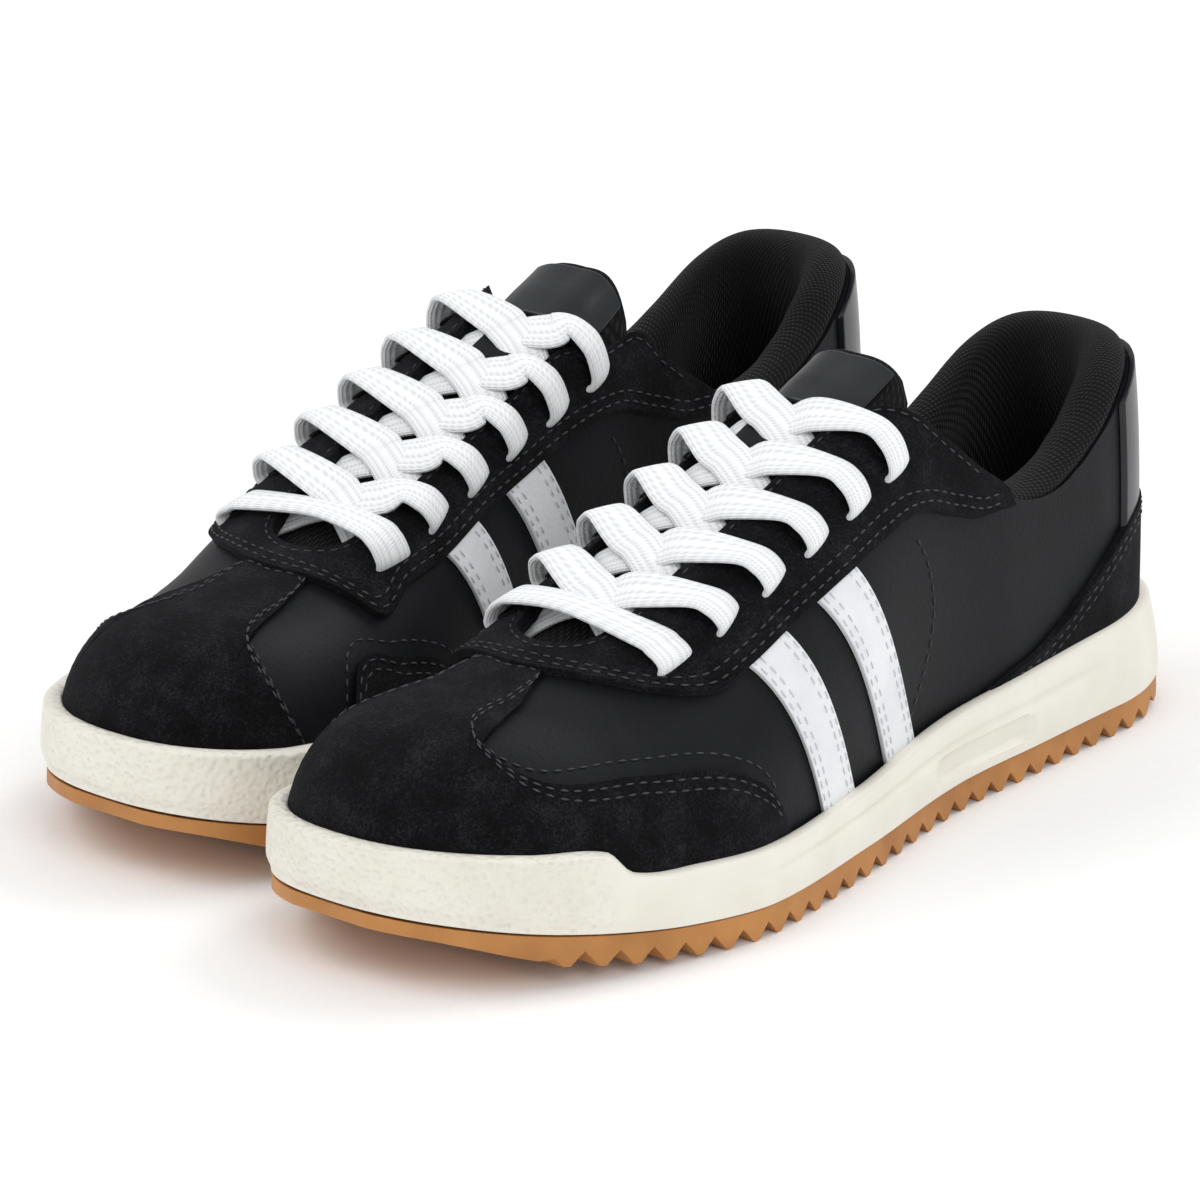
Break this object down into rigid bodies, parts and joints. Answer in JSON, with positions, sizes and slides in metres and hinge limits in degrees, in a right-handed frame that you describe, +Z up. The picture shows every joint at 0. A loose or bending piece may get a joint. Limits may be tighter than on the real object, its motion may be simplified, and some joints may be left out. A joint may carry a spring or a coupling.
{
  "type": "cheer_shoe_pair",
  "caption": "Pair of low lace-up cheer trainers in black suede and smooth leather with white side bars, off-white cup midsoles, toothed gum outsoles and flat white laces",
  "frame": {"origin": "centre of the pair's footprint on the ground", "axes": "+Z up, toes towards -Y, the wearer's left shoe on +X and right shoe on -X"},
  "size_m": [0.1976, 0.2856, 0.1015],
  "materials": {
    "black_suede": "napped suede",
    "black_leather": "smooth grain, satin",
    "gloss_leather": "smooth, glossy",
    "white_leather": "smooth grain, satin",
    "midsole_rubber": "matt, pebbled at the toe",
    "gum_rubber": "matt gum",
    "lining_mesh": "knitted spacer mesh",
    "white_lace": "flat woven",
    "board": "fibreboard",
    "clear_plastic": "clear gloss"
  },
  "bodies": {
    "left_shoe": {"left_outsole": "gum_rubber", "left_midsole": "midsole_rubber", "left_lasting_board": "board", "left_footbed": "lining_mesh", "left_heel_counter": "board", "left_toe_puff": "board", "left_lining": "lining_mesh", "left_vamp": "black_leather", "left_quarter_lateral": "black_leather", "left_quarter_medial": "black_leather", "left_toe_overlay": "black_suede", "left_eyelet_stay": "black_suede", "left_heel_foxing": "black_suede", "left_heel_tab": "gloss_leather", "left_bar_front_lateral": "white_leather", "left_bar_rear_lateral": "white_leather", "left_bar_front_medial": "white_leather", "left_bar_rear_medial": "white_leather", "left_collar_pad": "lining_mesh", "left_tongue": "lining_mesh", "left_tongue_label": "gloss_leather", "left_lace": "white_lace", "left_aglet_lateral": "clear_plastic", "left_aglet_medial": "clear_plastic"},
    "right_shoe": {"right_outsole": "gum_rubber", "right_midsole": "midsole_rubber", "right_lasting_board": "board", "right_footbed": "lining_mesh", "right_heel_counter": "board", "right_toe_puff": "board", "right_lining": "lining_mesh", "right_vamp": "black_leather", "right_quarter_lateral": "black_leather", "right_quarter_medial": "black_leather", "right_toe_overlay": "black_suede", "right_eyelet_stay": "black_suede", "right_heel_foxing": "black_suede", "right_heel_tab": "gloss_leather", "right_bar_front_lateral": "white_leather", "right_bar_rear_lateral": "white_leather", "right_bar_front_medial": "white_leather", "right_bar_rear_medial": "white_leather", "right_collar_pad": "lining_mesh", "right_tongue": "lining_mesh", "right_tongue_label": "gloss_leather", "right_lace": "white_lace", "right_aglet_lateral": "clear_plastic", "right_aglet_medial": "clear_plastic"}
  },
  "joints": [
    {"name": "right_shoe_lift", "type": "slide", "parent": "left_shoe", "child": "right_shoe", "axis": [0, 0, 1], "range_m": [0, 0.12]}
  ]
}
